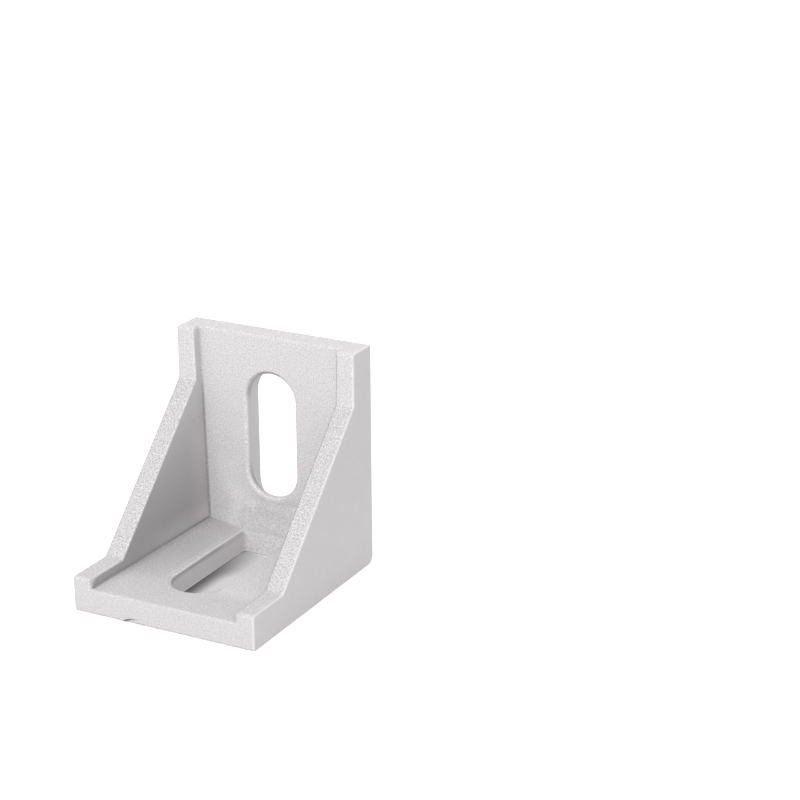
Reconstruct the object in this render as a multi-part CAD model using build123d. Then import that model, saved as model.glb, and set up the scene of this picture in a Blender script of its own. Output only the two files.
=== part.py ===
from build123d import *
import math
import os

# Corner bracket for slotted aluminium profile, one die casting. Millimetres, +Z up.
# It is modelled in the corner: the two mounting faces are the planes Z = 0 (under the
# base leg) and Y = 0 (behind the upright leg), the base leg runs towards -Y and the
# upright leg towards +Z. Last of all it is moved by half a leg along Y, which puts the
# origin in the middle of the base leg's mounting face.

# Overall size
width = 35.0                 # across the bracket, along X
leg = 40.0                   # each leg, from the corner to its tip
plate = 4.4                  # thickness of both legs

# Side ribs
rib_depth = 6.2              # a rib's free edge stands this far off the mounting face, at a tip
bend = 30.7                  # from the corner to where the rib's edge turns off the leg
rib_edge = 3.6               # rib thickness at its sloping edge
rib_draft = 1.9              # degrees a side, ribs thicken towards the corner
bend_radius = 0.8            # hollow of each bend in the rib's edge
tip_radius = 0.6             # rounded rib corner at each tip
heel_radius = 1.5            # where the two mounting faces would meet

# Thickened foot of the upright, behind the base slot
foot_depth = 2.15            # how far it comes forward of the upright's inner face
foot_flat = 10.0             # width of its front
foot_top = 9.4               # height where it has run out
foot_ease = 0.33             # how much of its height each end of its profile's curve takes
foot_lead = 0.1              # how far forward the curve has come at the end of the first
foot_fade = 0.03             # its size at the ribs, against its full size

# Bolt slots, one in each leg
bolt = 8.0
bolt_play = 1.4
slot_width = bolt + bolt_play
tip_margin = 6.9             # from a leg's tip to the slot's outer end
upright_slot_foot = 10.4     # height of the lower end of the upright's slot
slot_draft = 2.0             # degrees a side, slots widen towards the mounting face
slot_land = 1.1              # level part of the lower end of the upright's slot
slot_run_out = 45.0          # degrees, from there it falls away to the mounting face
slot_rim = 0.75              # rounding round each slot, on the legs' inner faces
slot_back_rim = 0.5          # and on the mounting faces
slot_corner = 0.8            # hollow where the base slot's sides meet the upright

# Casting radii
root_radius = 0.4            # between the two legs
side_root_radius = 0.35      # between a leg and a rib
edge_radius = 0.35           # outer edges
rib_edge_radius = 0.35       # between a rib's free edge and its inner face

# Values that follow from the sizes above
half = width / 2
slot_end = leg - tip_margin
slot_back = plate + foot_depth
rib_sum = rib_depth + bend   # on the slope, the distances from the two faces add up to this
foot_sink = 0.4              # the thickened foot runs this far into the casting round it
overrun = 1.0                # cutters run this far past a face


def rib_thickness(face_distances):
    """Rib thickness where the distances from the two mounting faces add up to this."""
    inward = (rib_sum - face_distances) / math.sqrt(2)
    return rib_edge + inward * math.tan(math.radians(rib_draft))


def casting_blank():
    """The side outline of the bracket, run across its full width."""
    face = make_face(Polyline(
        (0, 0),
        (-leg, 0),
        (-leg, rib_depth),
        (-bend, rib_depth),
        (-rib_depth, bend),
        (-rib_depth, leg),
        (0, leg),
        close=True,
    ))

    def corner(y, z):
        return face.vertices().sort_by_distance((y, z, 0))[0]

    face = fillet(corner(0, 0), heel_radius)
    face = fillet([corner(-leg, rib_depth), corner(-rib_depth, leg)], tip_radius)
    face = fillet([corner(-bend, rib_depth), corner(-rib_depth, bend)], bend_radius)
    return extrude(Plane.YZ * face, half, both=True)


def foot_section(across, depth, rise):
    """Side profile of the thickened foot: it leaves the upright at a slant and ends plumb."""
    front = -plate - depth
    under = plate - foot_sink - slot_rim
    curve = Bezier(
        (-plate, plate + rise),
        (-plate - depth * foot_lead, plate + rise * (1 - foot_ease)),
        (front, plate + rise * foot_ease),
        (front, plate),
    )
    rest = Polyline(
        (front, plate),
        (front, under),
        (foot_sink - plate, under),
        (foot_sink - plate, plate + rise),
        (-plate, plate + rise),
    )
    return Plane.YZ.offset(across) * make_face([curve, rest])


def foot():
    """Thickened foot of the upright: full depth behind the base slot, nothing at the ribs."""
    reach = half - rib_thickness(2 * plate) + foot_sink
    flat = foot_flat / 2
    rise = foot_top - plate
    sections = [
        foot_section(-reach, foot_fade * foot_depth, foot_fade * rise),
        foot_section(-flat, foot_depth, rise),
        foot_section(flat, foot_depth, rise),
        foot_section(reach, foot_fade * foot_depth, foot_fade * rise),
    ]
    return loft(sections, ruled=True)


def pocket():
    """The space between the ribs, narrower towards the corner and rounded at its roots."""
    start = 2 * plate - 2 * overrun
    finish = 2 * leg + 4 * overrun
    slim = half - rib_thickness(start)
    wide = half - rib_thickness(finish)
    slope = Plane(origin=(0, 0, 0), x_dir=(1, 0, 0), z_dir=(0, -1, -1))
    wedge = make_face(Polyline(
        (-slim, start / math.sqrt(2)),
        (slim, start / math.sqrt(2)),
        (wide, finish / math.sqrt(2)),
        (-wide, finish / math.sqrt(2)),
        close=True,
    ))
    wedge = extrude(slope * wedge, leg, both=True)
    room = Pos(0, -plate, plate) * Box(width, leg + overrun, leg + overrun,
                                       align=(Align.CENTER, Align.MAX, Align.MIN))
    space = wedge & room
    root = space.edges().filter_by(Axis.X).sort_by_distance((0, -plate, plate))[0]
    space = fillet(root, root_radius)
    sides = [e for e in space.edges() if is_side_root(e)]
    return fillet(sides, side_root_radius)


def is_side_root(edge):
    """True for the edges where a leg's inner face meets a rib."""
    spots = ends_and_middle(edge)
    limit = plate + root_radius + 0.01
    on_leg = all(min(s.Z, -s.Y) < limit for s in spots)
    return on_leg and all(abs(s.X) > slot_width for s in spots)


def slot_outline(depth, low, high):
    """A slot's outline this far behind the inner face, between two distances along the leg."""
    spread = depth * math.tan(math.radians(slot_draft))
    long = high - low + 2 * spread
    across = slot_width + 2 * spread
    return Pos(0, (low + high) / 2) * Rot(0, 0, 90) * SlotOverall(long, across)


def base_slot():
    """Open slot: round at the leg's tip, running in to the foot of the upright."""
    sections = []
    for depth in (-overrun, plate + overrun):
        outline = slot_outline(depth, 0, slot_end)
        sections.append(Pos(0, 0, plate - depth) * mirror(outline, Plane.XZ))
    space = loft(sections, ruled=True)
    room = Box(width, leg, leg, align=(Align.CENTER, Align.MAX, Align.CENTER))
    space = space & Pos(0, -slot_back, 0) * room
    return fillet([e for e in space.edges() if is_slot_corner(e)], slot_corner)


def is_slot_corner(edge):
    """True for the upright edges at the inner end of the base slot."""
    run = edge @ 1 - edge @ 0
    return abs((edge @ 0.5).Y + slot_back) < 0.01 and abs(run.Z) > plate


def upright_slot():
    """Closed slot whose lower end falls away towards the mounting face, in two lengths."""
    def section(depth, drop):
        outline = slot_outline(depth, upright_slot_foot - drop, slot_end)
        return Plane.XZ.offset(plate - depth) * outline

    behind = plate + overrun
    fall = (behind - slot_land) * math.tan(math.radians(slot_run_out))
    land = loft([section(-overrun, 0), section(slot_land, 0)], ruled=True)
    run_out = loft([section(slot_land, 0), section(behind, fall)], ruled=True)
    return [land, run_out]


def ends_and_middle(edge):
    return [edge @ 0, edge @ 0.5, edge @ 1]


def is_outer_edge(edge):
    """True for the edges round the two outer sides of the bracket."""
    return all(abs(s.X) > half - 0.01 for s in ends_and_middle(edge))


def is_tip_edge(edge):
    """True for the edge across each leg's tip, on the mounting face."""
    spot = edge @ 0.5
    run = edge @ 1 - edge @ 0
    return abs(run.X) > width - 1 and abs(abs(spot.Y) + spot.Z - leg) < 0.01


def is_slot_rim(edge):
    """True for the edges of the two slots on the legs' inner faces."""
    spots = ends_and_middle(edge)
    inside = all(abs(s.X) < slot_width / 2 + 0.01 for s in spots)
    on_base = all(abs(s.Z - plate) < 0.01 and s.Y < 0.01 - slot_back for s in spots)
    on_upright = all(abs(s.Y + plate) < 0.01 and s.Z > foot_top + 0.1 for s in spots)
    return inside and (on_base or on_upright)


def is_slot_back_rim(edge):
    """True for the edges of the two slots on the mounting faces."""
    spots = ends_and_middle(edge)
    inside = all(abs(s.X) < slot_width for s in spots)
    on_base = all(abs(s.Z) < 0.01 and s.Y < 0.01 - slot_back for s in spots)
    on_upright = all(abs(s.Y) < 0.01 and s.Z > heel_radius + 0.1 for s in spots)
    return inside and (on_base or on_upright)


def is_rib_edge(edge):
    """True for the edges between the ribs' free edges and their inner faces."""
    spots = ends_and_middle(edge)
    on_rib = all(slot_width < abs(s.X) < half - edge_radius - 0.01 for s in spots)
    return on_rib and all(min(s.Z, -s.Y) > plate + root_radius + 0.01 for s in spots)


blank = casting_blank()
blank = fillet([e for e in blank.edges() if is_outer_edge(e) or is_tip_edge(e)], edge_radius)
part = blank - pocket()
part = part - base_slot() - upright_slot()
part = fillet([e for e in part.edges() if is_slot_rim(e)], slot_rim)
part = fillet([e for e in part.edges() if is_slot_back_rim(e)], slot_back_rim)
part = part + foot()
part = fillet([e for e in part.edges() if is_rib_edge(e)], rib_edge_radius)

os.makedirs("parts", exist_ok=True)
export_step(Pos(0, leg / 2, 0) * part, "parts/corner_bracket.step")
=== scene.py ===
import math
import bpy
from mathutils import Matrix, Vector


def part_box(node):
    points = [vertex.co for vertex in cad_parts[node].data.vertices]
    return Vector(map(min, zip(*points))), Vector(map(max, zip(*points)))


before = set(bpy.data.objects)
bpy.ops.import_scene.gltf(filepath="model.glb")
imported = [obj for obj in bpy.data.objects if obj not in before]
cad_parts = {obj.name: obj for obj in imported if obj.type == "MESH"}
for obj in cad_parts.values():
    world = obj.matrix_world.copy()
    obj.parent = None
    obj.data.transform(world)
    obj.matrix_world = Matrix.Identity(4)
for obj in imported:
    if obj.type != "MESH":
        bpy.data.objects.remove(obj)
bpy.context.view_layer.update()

from types import SimpleNamespace

import bpy
from bpy.props import FloatProperty, FloatVectorProperty, PointerProperty
from mathutils import Matrix, Vector

bl_info = {
    "name": "Corner bracket",
    "version": (1, 0, 0),
    "blender": (4, 5, 0),
    "location": "3D View > Sidebar > Bracket",
    "description": "Finishes a cast aluminium corner bracket and stages it on a pale floor",
    "category": "Object",
}

BRACKET = "corner_bracket"
low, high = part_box(BRACKET)

# Sizes of the casting, in metres, measured from its two mounting faces
LEG = high.y - low.y         # each leg, from the corner to its tip
HALF = high.x                # half of the width
PLATE = 0.0044               # thickness of both legs
RIB_DEPTH = 0.0062           # how far a rib's free edge stands off the mounting face, at a tip
RIB_SUM = 0.0369             # on the slope, the distances from the two faces add up to this
RIB_EDGE = 0.0036            # rib thickness at its sloping edge
RIB_DRAFT = 1.9              # degrees a side, ribs thicken towards the corner
SLOT_HALF = 0.0047           # half of a slot's width
SLOT_RIM = 0.00075           # rounding round each slot
SLOT_BACK = 0.00655          # inner end of the base slot
SLOT_FOOT = 0.0104           # lower end of the upright's slot
SLOT_END = 0.0331            # outer end of both slots
SLOT_ROUND = SLOT_END - SLOT_HALF     # where the slots' outer ends begin to round
FOOT_TOP = 0.0094            # height where the thickened foot has run out
HAIR = 0.0001                # the finest step between one finish and the next

# The camera and the lamp in front, with places in metres
CAMERA_AZIMUTH = 27.765      # degrees from straight in front, towards +X
CAMERA_ELEVATION = 19.807    # degrees that it looks down by
CAMERA_ROLL = -0.313         # degrees
CAMERA_PLACE = (0.18833, -0.29413, 0.15877)
KEY_PLACE = (0.0, -0.676, 0.191)
KEY_TARGET = (0, 0, 0.015)
KEY_SIZE = 0.4


# Shader maths -----------------------------------------------------------------------------

class Socket:
    """An output socket of a node tree, used in plain expressions."""

    def __init__(self, tree, socket):
        self.tree = tree
        self.socket = socket

    def maths(self, operation, *values):
        return self.tree.node("ShaderNodeMath", {"operation": operation}, values)

    def __add__(self, other):
        return self.maths("ADD", self, other)

    def __sub__(self, other):
        return self.maths("SUBTRACT", self, other)

    def __rsub__(self, other):
        return self.maths("SUBTRACT", other, self)

    def __mul__(self, other):
        return self.maths("MULTIPLY", self, other)

    def __truediv__(self, other):
        return self.maths("DIVIDE", self, other)

    __radd__ = __add__
    __rmul__ = __mul__

    def size(self):
        return self.maths("ABSOLUTE", self)

    def least(self, other):
        return self.maths("MINIMUM", self, other)

    def most(self, other):
        return self.maths("MAXIMUM", self, other)

    def distance(self, other):
        """Length of the diagonal over two distances that are square to each other."""
        return self.maths("SQRT", self * self + other * other)

    def smooth(self, start, end):
        """0 before start, 1 after end, and an even S between them."""
        return self.tree.node(
            "ShaderNodeMapRange",
            {"interpolation_type": "SMOOTHSTEP", "clamp": True},
            {"Value": self, "From Min": start, "From Max": end},
        )

    def fade(self, start, end):
        """1 before start, 0 after end, and an even S between them."""
        return 1 - self.smooth(start, end)

    def band(self, centre, reach):
        """1 at the centre, falling to 0 at this distance on either side."""
        return (self - centre).size().fade(0, reach)

    def between(self, start, end, blur):
        """1 from start to end, falling to 0 within the blur outside them."""
        return self.smooth(start - blur, start) * self.fade(end, end + blur)


class Tree:
    """The node tree of one material or world."""

    def __init__(self, owner):
        owner.use_nodes = True
        self.nodes = owner.node_tree.nodes
        self.links = owner.node_tree.links
        self.nodes.clear()

    def node(self, kind, settings=None, inputs=(), output=0):
        """Adds a node: its settings first, then the values or links of its sockets."""
        made = self.nodes.new(kind)
        for name, value in (settings or {}).items():
            setattr(made, name, value)
        pairs = inputs.items() if isinstance(inputs, dict) else enumerate(inputs)
        for name, value in pairs:
            if isinstance(value, Socket):
                self.links.new(value.socket, made.inputs[name])
            else:
                made.inputs[name].default_value = value
        return Socket(self, made.outputs[output]) if made.outputs else None

    def noise(self, place, scale, detail, roughness=0.5):
        return self.node(
            "ShaderNodeTexNoise",
            {"noise_dimensions": "3D"},
            {"Vector": place, "Scale": scale, "Detail": detail, "Roughness": roughness},
        )

    def mix_colour(self, factor, first, second, blend="MIX"):
        """Mixes two colours, on the colour sockets of the Mix node."""
        return self.node(
            "ShaderNodeMix",
            {"data_type": "RGBA", "blend_type": blend},
            {0: factor, 6: first, 7: second},
            output=2,
        )


# Settings ---------------------------------------------------------------------------------

class BracketCasting(bpy.types.PropertyGroup):
    """Finish of the shot-blasted casting."""

    metal: FloatVectorProperty(
        name="Metal", description="Colour of the blasted aluminium",
        default=(0.70, 0.682, 0.688), size=3, min=0, max=1, subtype="COLOR")
    metallic: FloatProperty(
        name="Metallic", description="How much of the surface shines as bare metal",
        default=0.2, min=0, max=1)
    specular: FloatProperty(
        name="Specular", description="Strength of the sheen where it isn't bare metal",
        default=0.2, min=0, max=1)
    grain: FloatProperty(
        name="Grain", description="Width of one blasted grain",
        default=0.00026, min=0.0001, max=0.002, unit="LENGTH")
    grain_depth: FloatProperty(
        name="Grain depth", description="Depth of the blasted grain",
        default=0.00002, min=0, max=0.0005, unit="LENGTH")
    grain_tone: FloatProperty(
        name="Grain tone", description="How much lighter and darker the grains are",
        default=1.05, min=0, max=2)
    # painted glints: the brightest grains are painted lighter
    spark: FloatProperty(
        name="Spark", description="How much brighter the brightest grains are",
        default=0.15, min=0, max=2)


class BracketStage(bpy.types.PropertyGroup):
    """Floor, lamps and camera."""

    floor_colour: FloatVectorProperty(
        name="Floor", description="Colour of the floor",
        default=(0.8, 0.8, 0.8), size=3, min=0, max=1, subtype="COLOR")
    floor_size: FloatProperty(
        name="Floor size", description="Length of the floor's side",
        default=6.0, min=0.5, unit="LENGTH")
    key_power: FloatProperty(
        name="Key lamp", description="Power of the large lamp in front",
        default=1.6, min=0, unit="POWER")
    lens: FloatProperty(
        name="Lens", description="Focal length of the camera",
        default=100.43, min=10, unit="CAMERA")


# Places and faces of the casting ----------------------------------------------------------

def slot_gap(side, beyond):
    """Distance from a slot's wall, from its distances off the axis and past its straight part."""
    return side.distance(beyond) - SLOT_HALF


def places(tree):
    """Where a point of the casting is: its distances, in metres, from faces, ribs and slots."""
    at = SimpleNamespace()
    at.point = tree.node("ShaderNodeTexCoord", output="Object")
    at.across, along, at.height = (
        tree.node("ShaderNodeSeparateXYZ", {}, [at.point], axis) for axis in "XYZ")
    at.side = at.across.size()
    at.out = LEG / 2 - along                                   # from the upright's mounting face
    at.near = at.out.least(at.height)                          # from the nearer mounting face
    at.tip = LEG - at.out.most(at.height)                      # from the nearer tip
    at.depth = (RIB_SUM - at.out - at.height) / math.sqrt(2)   # below the ribs' slope
    rib_face = HALF - RIB_EDGE - at.depth * math.tan(math.radians(RIB_DRAFT))
    at.rib_gap = (at.side - rib_face).size()
    at.base_gap = slot_gap(at.side, (at.out - SLOT_ROUND).most(0))
    above, below = at.height - SLOT_ROUND, SLOT_FOOT + SLOT_HALF - at.height
    at.upright_gap = slot_gap(at.side, above.most(below).most(0))
    at.right = at.across.smooth(-10 * HAIR, 10 * HAIR)
    at.outer = at.side.smooth(HALF - 3 * HAIR, HALF - HAIR)
    at.front = (LEG - at.out).fade(HAIR, 4 * HAIR)
    at.slope = at.depth.band(0, 3 * HAIR) * (1 - at.outer) * at.near.smooth(
        PLATE + 5 * HAIR, PLATE + 10 * HAIR)
    at.rib = rib_faces(at)
    at.base_wall = base_slot_walls(at)
    at.upright_wall = at.upright_gap.fade(2 * HAIR, 5 * HAIR) * at.out.fade(
        PLATE - 5 * HAIR, PLATE - 2 * HAIR)
    return at


def rib_faces(at):
    """The ribs' inner faces, as far as the pocket's rounded ends at the tips."""
    skin = (0.00012, 0.00025)     # how far off the face the mask reaches
    nose_start = 0.0032           # from the tip, where the pocket's end begins to round
    nose_squeeze = 0.62           # the rounding is longer along the leg than it is deep
    rounding = RIB_DEPTH - PLATE
    below_edge = at.depth.smooth(HAIR, 5 * HAIR).most(
        at.near.fade(RIB_DEPTH - 5 * HAIR, RIB_DEPTH - HAIR))
    face = at.rib_gap.fade(*skin) * below_edge * at.tip.smooth(5 * HAIR, 10 * HAIR)
    face = face * at.near.smooth(PLATE + HAIR / 2, PLATE + 3 * HAIR)
    nose = ((nose_start - at.tip) * nose_squeeze).most(0)
    curl = nose.distance(at.near - PLATE)
    return face * (1 - nose.smooth(0, 2 * HAIR) * curl.smooth(rounding - 3 * HAIR, rounding))


def base_slot_walls(at):
    """The base slot's side walls and round end, below its rounded rim."""
    wall = at.base_gap.fade(3 * HAIR, 5 * HAIR) * at.height.fade(PLATE - 3 * HAIR, PLATE - HAIR)
    return wall * at.out.smooth(SLOT_BACK + 2 * HAIR, SLOT_BACK + 8 * HAIR)


# Painted light and shade, and marks on the casting: each returns what the metal's tone is multiplied
# by ----------------

def rib_light_and_shade(at):
    """Painted shade on the ribs' inner faces, darkest low down, and painted light near the corner,
    where they are lighter again.
    """
    shade, lift = 0.36, 0.3
    lift_height = (0.008, 0.032)
    painted_floor_light, floor_height, floor_out = 0.2, (0.0048, 0.009), (0.012, 0.030)
    painted_wall_light, wall_height, wall_out = 0.12, (0.018, 0.024), (0.0055, 0.011)
    # painted light near the corner, low down by the base and close to the upright
    corner = painted_floor_light * at.height.fade(*floor_height) * at.out.fade(*floor_out)
    corner = corner + painted_wall_light * at.out.fade(*wall_out) * at.height.fade(*wall_height)
    return 1 - at.rib * (shade - lift * at.height.smooth(*lift_height) - corner)


def foot_light_and_shade(at):
    """Painted shade and light on the thickened foot: darker in its middle and at its top, and lighter
    beside and above.
    """
    middle, middle_side = 0.12, (0.002, 0.009)
    over, over_height, over_reach = 0.12, 0.0091, 0.0033
    over_left, over_blur = -0.0018, 0.0032
    beside, beside_side, beside_height = 0.09, 0.0072, (0.005, 0.010)
    above, above_side, above_reach, above_height = 0.05, 0.009, 0.004, (0.011, 0.015)
    blur = 0.003
    ramp = at.out.between(PLATE + 8 * HAIR, SLOT_BACK, 8 * HAIR) * at.height.between(
        PLATE + 4 * HAIR, FOOT_TOP, 8 * HAIR) * at.side.fade(*middle_side)
    on_foot = at.out.between(PLATE - HAIR, SLOT_BACK, 3 * HAIR)
    shade_over_slot = at.height.band(over_height, over_reach) * at.across.between(
        over_left, SLOT_HALF, over_blur)
    light_beside = at.side.band(beside_side, blur) * at.height.between(*beside_height, blur)
    face = at.side.band(above_side, above_reach) * at.height.between(*above_height, blur)
    # painted shade over the middle and over the slot, painted light beside and above them
    tone = (1 - middle * ramp) * (1 - over * shade_over_slot * on_foot)
    return tone * (1 + beside * light_beside * on_foot) * (1 + above * face * at.out.band(PLATE, 3 * HAIR))


def pad_light_and_shade(at):
    """The base leg's inner face: painted shade under the left rib, and painted light beside the right
    one.
    """
    middle, middle_out, middle_blur = 0.07, (0.016, 0.028), 0.006
    inner, inner_out = 0.06, (0.008, 0.012)
    beside_rib, beside_reach = 0.14, (0.0002, 0.0022)
    shade_end = (0.030, 0.036)
    glow, glow_out, glow_blur = 0.15, (0.006, 0.030), 0.004
    pad_start, pad_edge, pad_back = 0.0065, HALF - 0.003, 0.005
    level = at.height.band(PLATE, 2 * HAIR)
    left = level * at.side.between(pad_start, pad_edge, 5 * HAIR) * at.out.smooth(PLATE, pad_back)
    left = left * (1 - at.right) * at.out.fade(*shade_end)
    # painted shade in the pad's middle, near the upright and beside the left rib
    shade = middle * at.out.between(*middle_out, middle_blur) + inner * at.out.fade(*inner_out)
    shade = shade + beside_rib * at.rib_gap.fade(*beside_reach)
    # painted light on the pad beside the right rib
    lit = level * at.across.between(SLOT_HALF + 8 * HAIR, pad_edge, 5 * HAIR)
    return (1 - left * shade) * (1 + glow * lit * at.out.between(*glow_out, glow_blur))


def base_slot_light_and_shade(at):
    """Painted shade and light on the base slot's walls: darker under the rim and lighter near the
    floor.
    """
    plain, under_rim, top, bottom = 0.04, 0.25, 0.14, 0.3
    rim_height, rim_reach, rim_out = 0.0039, 0.0005, (0.012, 0.016)
    top_start = 0.003
    wall = plain - under_rim * at.height.band(rim_height, rim_reach) * at.out.smooth(*rim_out)
    wall = wall - top * at.height.smooth(top_start, rim_height)
    wall = wall + bottom * at.height.fade(HAIR, 7 * HAIR)

    # painted light on the slot's inner end wall, most at its foot
    end_plain, end_bottom = 0.09, 0.35
    end_wall = at.side.fade(SLOT_HALF - 6 * HAIR, SLOT_HALF) * at.height.fade(PLATE - 5 * HAIR, PLATE)
    end_wall = end_wall * at.out.between(SLOT_BACK - 2 * HAIR, SLOT_BACK + HAIR, 4 * HAIR)
    end_tone = end_plain + end_bottom * at.height.fade(HAIR, 6 * HAIR)
    return (1 + at.base_wall * wall) * (1 + end_wall * end_tone)


def base_slot_rim_highlight(at):
    """A painted highlight along the base slot's rim."""
    brighter = 0.3
    rim = at.base_gap.band(3 * HAIR, 2 * HAIR) * at.height.between(
        PLATE - 3 * HAIR, PLATE + HAIR, HAIR)
    return 1 + brighter * rim * at.out.between(
        SLOT_BACK + 5 * HAIR, SLOT_END + 10 * HAIR, 5 * HAIR)


def upright_slot_rim_light_and_shade(at):
    """The upright slot's rim: painted shade over its round top, and painted highlights down its left
    and below.
    """
    dark_line, bright_ridge, bright_lip = 0.5, 0.24, 0.05
    line_middle, line_reach = 0.00042, 0.00034
    ridge_middle, ridge_reach = 0.00028, 0.00022
    left_share = 0.35             # how strong the dark line is at the left of the round top
    line_height, line_left, line_right = (0.0005, 0.0035), (-0.0035, -0.0012), (0.0015, 0.004)
    ridge_right = (0.001, 0.004)
    on_rim = at.out.between(PLATE - SLOT_RIM, PLATE + HAIR, HAIR)
    over = (at.height - SLOT_ROUND).smooth(*line_height) * at.across.fade(*line_right)
    over = over * (left_share + (1 - left_share) * at.across.smooth(*line_left))
    # painted shade along the round top, painted highlights down the left and at the bottom
    shade_line = at.upright_gap.band(line_middle, line_reach) * on_rim * over
    highlight_band = at.upright_gap.band(ridge_middle, ridge_reach) * on_rim * (1 - over)
    lip_highlight = at.upright_gap.band(SLOT_RIM - HAIR, 3 * HAIR) * on_rim * (1 - over)
    tone = (1 - dark_line * shade_line) * (1 + bright_lip * lip_highlight)
    return tone * (1 + bright_ridge * highlight_band * at.across.fade(*ridge_right))


def upright_slot_light_and_shade(at):
    """Painted light and shade on the upright slot's walls: a little lighter all over, and darker
    behind the rim at the upper left and the lower left.
    """
    plain = 0.05
    upper, upper_height, upper_side = 0.22, (-0.0012, 0.0012), (-0.002, 0.001)
    lower, lower_height, lower_side = 0.4, (0.0132, 0.0165), (-0.004, -0.001)
    behind_rim = PLATE - SLOT_RIM
    arc = at.upright_gap.fade(2 * HAIR, 5 * HAIR) * at.out.between(
        behind_rim - 4 * HAIR, PLATE - 3 * HAIR, 6 * HAIR)
    arc = arc * (at.height - SLOT_ROUND).smooth(*upper_height) * at.across.fade(*upper_side)
    low_left_shade = at.upright_gap.fade(2 * HAIR, 4 * HAIR) * at.out.band(behind_rim - 2 * HAIR, 6 * HAIR)
    low_left_shade = low_left_shade * at.height.fade(*lower_height) * at.across.fade(*lower_side)
    return (1 + plain * at.upright_wall) * (1 - upper * arc) * (1 - lower * low_left_shade)


def rib_root_shade(at):
    """Painted shade in the roots where the ribs meet the legs, thinning out near the upright's tip.
    """
    darker, thinner, thin_height = 0.55, 0.7, (0.026, 0.033)
    reach = 0.00045
    root = at.rib_gap.fade(HAIR, reach) * (at.near - PLATE).band(0, reach)
    root = root * at.tip.smooth(2 * HAIR, 6 * HAIR)
    root = root * (1 - thinner * at.height.smooth(*thin_height))
    return 1 - darker * root


def edge_light_and_shade(at):
    """Painted highlights and shade along the ribs' inner borders and the outer corners: lighter on
    edges that face right, darker on edges that face left.
    """
    left_line, right_line = 0.2, -0.42
    left_side, right_side = -0.08, 0.17
    border = (0.00012, 0.00038)
    stub = (at.near - RIB_DEPTH).band(0, 3 * HAIR) * at.depth.fade(-8 * HAIR, 0.0)
    sloping = at.depth.band(0, 3 * HAIR) * at.near.smooth(RIB_DEPTH - 4 * HAIR, RIB_DEPTH - HAIR)
    inner = at.rib_gap.fade(*border) * sloping.most(stub)
    outer = at.side.between(HALF - 3 * HAIR, HALF - HAIR, HAIR)
    tone = 1 + inner * (left_line + (right_line - left_line) * at.right)
    return tone * (1 + outer * (left_side + (right_side - left_side) * at.right))


def face_light_and_shade(at):
    """Painted light and shade: faces that are a little lighter or darker all over."""
    slope, upper_end, front = -0.07, 0.14, -0.03
    low_side, side_height = 0.03, (0.004, 0.020)
    on_end = (LEG - at.height).band(0, 2 * HAIR)
    tone = (1 + slope * at.slope) * (1 + upper_end * on_end) * (1 + front * at.front)
    return tone * (1 + low_side * at.outer * at.height.fade(*side_height))


def edge_wear_and_highlight(at, coarse):
    """Bright flecks along the inner edges at both tips: partly worn bright by tumbling, partly a
    painted highlight along the edges.
    """
    brighter = 0.35
    flecks = (0.5, 0.62)
    edge = (LEG - at.out).band(0, 2 * HAIR) * (at.height - PLATE).band(0, 2 * HAIR)
    edge = edge + (LEG - at.height).band(0, 2 * HAIR) * (at.out - PLATE).band(0, 2 * HAIR)
    edge = edge * at.side.fade(HALF - RIB_EDGE, HALF - RIB_EDGE + 2 * HAIR)
    return 1 + brighter * edge * coarse.smooth(*flecks)


def lower_edge(at, coarse):
    """A thin fold in the base leg's lower front edge, and the edge's own raggedness."""
    fold_dark, ragged_dark = 0.9, 0.25
    centre_across, centre_height = -0.00462, -0.00587
    radius, width = 0.0067, 0.00024
    starts, ends = (-0.008, -0.0077), (-0.007, -0.0046)
    gaps = (0.5, 0.65)
    fold = (at.across - centre_across).distance(at.height - centre_height).band(radius, width)
    fold = fold * (LEG - at.out).fade(4 * HAIR, 6 * HAIR)
    fold = fold * at.across.smooth(*starts) * at.across.fade(*ends)
    ragged = (LEG - at.out).band(0, 4 * HAIR) * at.height.band(0, 4 * HAIR)
    return (1 - fold_dark * fold) * (1 - ragged_dark * ragged * coarse.smooth(*gaps))


def pimple(at):
    """A small pimple on the left rib's inner face."""
    from_back, up, radius = 0.0073, 0.0235, 0.0005
    spot = (at.out - from_back).distance(at.height - up).band(0, radius)
    return spot * (1 - at.right) * at.rib


# the painted light and shade, which multiply the metal's tone
PAINTED_LIGHT_AND_SHADE = (rib_light_and_shade, foot_light_and_shade, pad_light_and_shade, base_slot_light_and_shade, base_slot_rim_highlight,
          upright_slot_rim_light_and_shade, upright_slot_light_and_shade, rib_root_shade, edge_light_and_shade, face_light_and_shade)


# Operators --------------------------------------------------------------------------------

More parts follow.
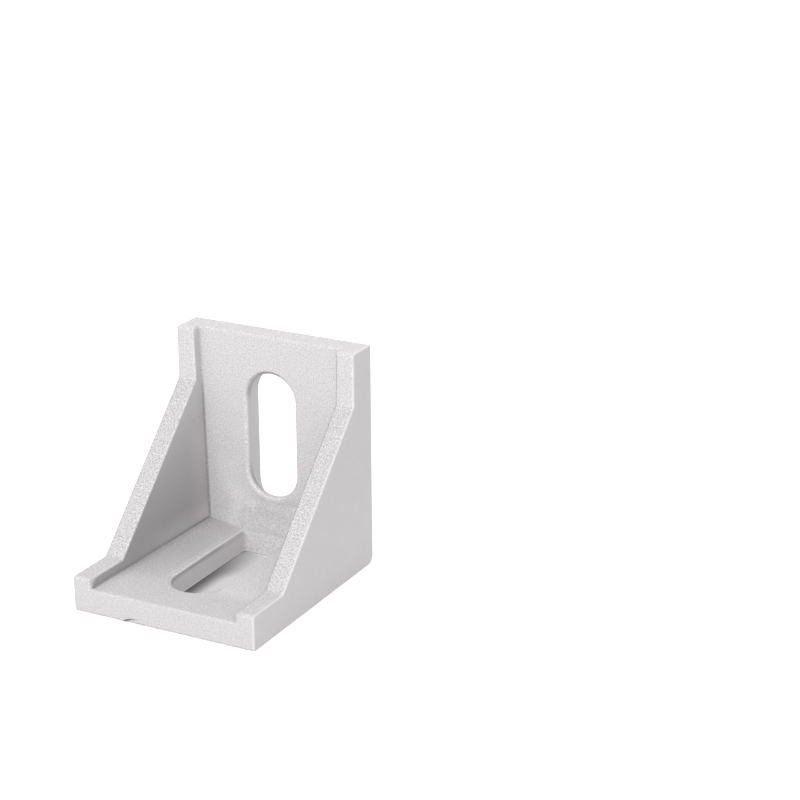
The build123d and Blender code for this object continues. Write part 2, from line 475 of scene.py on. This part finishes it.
class BRACKET_OT_casting(bpy.types.Operator):
    """Give the bracket its blasted aluminium"""

    bl_idname = "bracket.casting"
    bl_label = "Casting"

    def execute(self, context):
        settings = context.scene.bracket_casting
        metal = bpy.data.materials.new("blasted_aluminium")
        tree = Tree(metal)
        at = places(tree)

        # shot-blasted grain, fainter on the faces that stand along the pull of the die
        drawn, sloping, front = 0.86, 0.6, 0.3
        drawn_face = (at.rib + at.base_wall + at.upright_wall + at.outer).least(1)
        grain = 1 - drawn * drawn_face + sloping * at.slope - front * at.front

        # each noise has a middle, a scale to the metre and a share in the tone
        middle, detail, sharpness = 0.5, 2.0, 0.6
        fine_scale = 1 / settings.grain
        coarse_scale, coarse_tone = 0.3 * fine_scale, 0.06
        patch_scale, patch_tone = 220.0, 0.05
        # spark paints glints, lighter spots on the brightest grains
        spark_scale, spark_level = 1.4 * fine_scale, (0.64, 0.74)
        fine = tree.noise(at.point, fine_scale, detail, sharpness)
        coarse = tree.noise(at.point, coarse_scale, detail)
        patch = tree.noise(at.point, patch_scale, detail)
        spark = tree.noise(at.point, spark_scale, 0.0).smooth(*spark_level)
        tone = 1 + grain * ((fine - middle) * settings.grain_tone + spark * settings.spark)
        tone = tone + (coarse - middle) * coarse_tone + (patch - middle) * patch_tone
        # painted light and shade, then the worn edges and marks
        for shade in PAINTED_LIGHT_AND_SHADE:
            tone = tone * shade(at)
        tone = tone * edge_wear_and_highlight(at, coarse) * lower_edge(at, coarse)

        pimple_height = 4         # times the grain's depth
        rough, rough_patch = 0.55, 0.1
        grey = tree.node("ShaderNodeCombineColor", {}, [tone, tone, tone])
        colour = tree.mix_colour(1.0, list(settings.metal) + [1], grey, "MULTIPLY")
        bump = tree.node("ShaderNodeBump", {}, {
            "Strength": 1.0, "Distance": settings.grain_depth,
            "Height": fine * grain + pimple_height * pimple(at)})
        surface = tree.node("ShaderNodeBsdfPrincipled", {}, {
            "Base Color": colour, "Metallic": settings.metallic,
            "Specular IOR Level": settings.specular,
            "Roughness": patch * rough_patch + rough, "Normal": bump})
        tree.node("ShaderNodeOutputMaterial", {}, {"Surface": surface})
        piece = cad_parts[BRACKET]
        piece.data.materials.clear()
        piece.data.materials.append(metal)
        return {"FINISHED"}


def floor_paint(settings):
    """The floor's paint, which the camera sees white, but darker under the bracket: a painted shadow
    in the base slot, darkest by its left wall, with painted light towards the slot's inner end.
    """
    white = [1.5, 1.5, 1.5, 1]
    lit, lit_end, dark = [0.92, 0.905, 0.912, 1], [1.12, 1.1, 1.11, 1], [0.18, 0.175, 0.178, 1]
    shadow_outer, shadow_wider = 0.0034, 0.0022     # the shadow's width, and how much it widens
    shadow_strength, shadow_loss = 0.92, 0.62
    widens, loses = (0.001, 0.007), (0, 0.017)
    end = LEG / 2 - SLOT_BACK

    paint = bpy.data.materials.new("floor_paint")
    tree = Tree(paint)
    place = tree.node("ShaderNodeTexCoord", output="Object")
    across, along = (tree.node("ShaderNodeSeparateXYZ", {}, [place], axis) for axis in "XY")
    # painted shade under the bracket, seen only through the base slot
    under = across.size().fade(HALF - 10 * HAIR, HALF) * along.size().fade(
        LEG / 2 - 10 * HAIR, LEG / 2)
    # painted shadow along the slot's left wall, widening and fading towards the inner end
    reach = shadow_outer + shadow_wider * along.smooth(*widens)
    shadow = ((across + SLOT_HALF) / reach).fade(0, 1)
    shadow = shadow * (shadow_strength - shadow_loss * along.smooth(*loses))
    inside = tree.mix_colour(along.smooth(end - 6 * HAIR, end), lit, lit_end)
    inside = tree.mix_colour(shadow, inside, dark)
    to_camera = tree.mix_colour(under, white, inside)
    seen = tree.node("ShaderNodeLightPath", output="Is Camera Ray")
    colour = tree.mix_colour(seen, list(settings.floor_colour) + [1], to_camera)
    diffuse = tree.node("ShaderNodeBsdfDiffuse", {}, {"Color": colour})
    tree.node("ShaderNodeOutputMaterial", {}, {"Surface": diffuse})
    return paint


def studio_world():
    """Even white light from all round, and a white backdrop for the camera."""
    light, backdrop = 0.9, 1.0
    world = bpy.data.worlds.new("studio")
    tree = Tree(world)
    seen = tree.node("ShaderNodeLightPath", output="Is Camera Ray")
    glow = tree.node("ShaderNodeBackground", {}, {
        "Color": [1, 1, 1, 1], "Strength": seen * (backdrop - light) + light})
    tree.node("ShaderNodeOutputWorld", {}, {"Surface": glow})
    return world


def key_lamp(power):
    """A large square lamp in front of the bracket."""
    lamp = bpy.data.lights.new("key", "AREA")
    lamp.shape = "SQUARE"
    lamp.size = KEY_SIZE
    lamp.energy = power
    key = bpy.data.objects.new("key", lamp)
    key.location = KEY_PLACE
    key.rotation_euler = (Vector(KEY_TARGET) - Vector(KEY_PLACE)).to_track_quat("-Z", "Y").to_euler()
    return key


def camera_place(azimuth, elevation, roll, place):
    """A camera's matrix from its angles in degrees and its place."""
    a, e, r = (math.radians(x) for x in (azimuth, elevation, roll))
    back = Vector((math.sin(a) * math.cos(e), -math.cos(a) * math.cos(e), math.sin(e)))
    right = Vector((math.cos(a), math.sin(a), 0))
    up = back.cross(right)
    turned_right = right * math.cos(r) + up * math.sin(r)
    turned_up = up * math.cos(r) - right * math.sin(r)
    turn = Matrix((turned_right, turned_up, back)).transposed().to_4x4()
    return Matrix.Translation(place) @ turn


class BRACKET_OT_stage(bpy.types.Operator):
    """Stand the bracket on its floor, with lamps and a camera"""

    bl_idname = "bracket.stage"
    bl_label = "Stage"

    def execute(self, context):
        settings = context.scene.bracket_stage
        bpy.ops.mesh.primitive_plane_add(size=settings.floor_size, location=(0, 0, low.z))
        floor = context.object
        floor.name = "floor"
        floor.data.materials.append(floor_paint(settings))

        context.scene.world = studio_world()
        context.scene.collection.objects.link(key_lamp(settings.key_power))

        lens = bpy.data.cameras.new("camera")
        lens.lens = settings.lens
        lens.clip_start = 0.01
        camera = bpy.data.objects.new("camera", lens)
        camera.matrix_world = camera_place(
            CAMERA_AZIMUTH, CAMERA_ELEVATION, CAMERA_ROLL, CAMERA_PLACE)
        context.scene.collection.objects.link(camera)
        context.scene.camera = camera
        context.scene.view_settings.view_transform = "Standard"
        return {"FINISHED"}


class BRACKET_PT_panel(bpy.types.Panel):
    """Lists the bracket's operators"""

    bl_label = "Corner bracket"
    bl_idname = "BRACKET_PT_panel"
    bl_space_type = "VIEW_3D"
    bl_region_type = "UI"
    bl_category = "Bracket"

    def draw(self, context):
        layout = self.layout
        for step in STEPS:
            layout.operator(step.bl_idname)


STEPS = (BRACKET_OT_casting, BRACKET_OT_stage)
CLASSES = (BracketCasting, BracketStage) + STEPS + (BRACKET_PT_panel,)


def register():
    for cls in CLASSES:
        bpy.utils.register_class(cls)
    bpy.types.Scene.bracket_casting = PointerProperty(type=BracketCasting)
    bpy.types.Scene.bracket_stage = PointerProperty(type=BracketStage)


def unregister():
    del bpy.types.Scene.bracket_stage
    del bpy.types.Scene.bracket_casting
    for cls in reversed(CLASSES):
        bpy.utils.unregister_class(cls)


def main():
    register()
    bpy.ops.bracket.casting()
    bpy.ops.bracket.stage()


if __name__ == "__main__":
    main()
